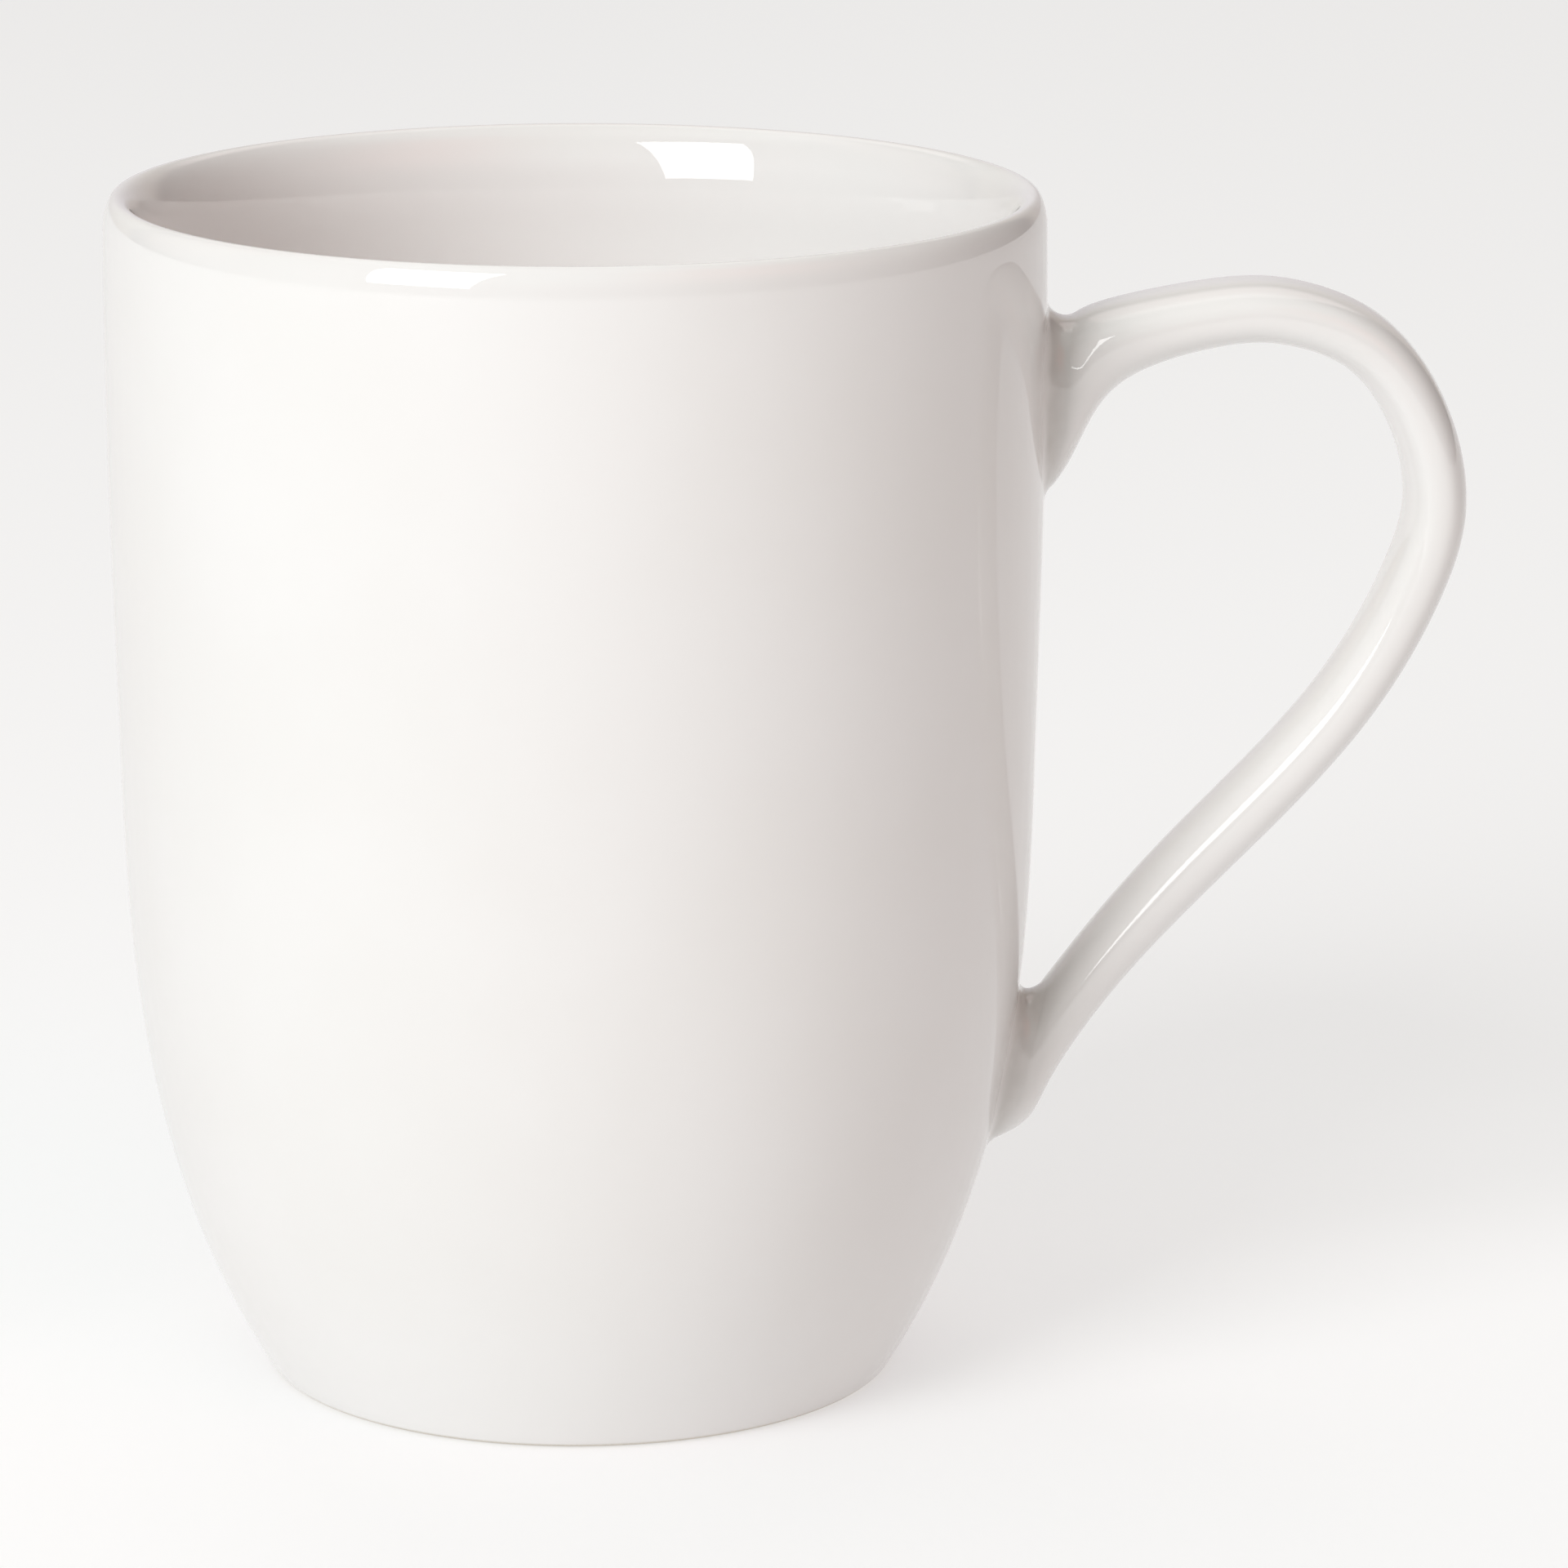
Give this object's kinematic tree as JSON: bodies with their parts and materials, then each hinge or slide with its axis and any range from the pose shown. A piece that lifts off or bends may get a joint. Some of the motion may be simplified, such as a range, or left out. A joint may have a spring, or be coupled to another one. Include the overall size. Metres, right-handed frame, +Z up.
{
  "type": "ceramic mug",
  "caption": "Tall glazed ceramic mug: straight upper wall, belly curving in to a foot ring, rounded tapering lip and an ear-shaped strap handle joined to the wall by slip.",
  "frame": {"origin": "middle of the footprint in the plane that the foot ring rests on; the cup's own axis stands 18.98 mm from it towards -X", "axes": "+Z up along the cup's axis, +X from the cup towards the handle, the handle's plane is XZ, the pictured side faces -Y"},
  "size_m": [0.122, 0.0842, 0.108],
  "materials": {
    "white_glaze": "glossy clear glaze over a white body",
    "fired_slip": "white clay slip fired under the same glaze"
  },
  "bodies": {
    "root": {"cup_body": "white_glaze", "handle": "white_glaze", "upper_slip_joint": "fired_slip", "lower_slip_joint": "fired_slip"}
  },
  "joints": []
}
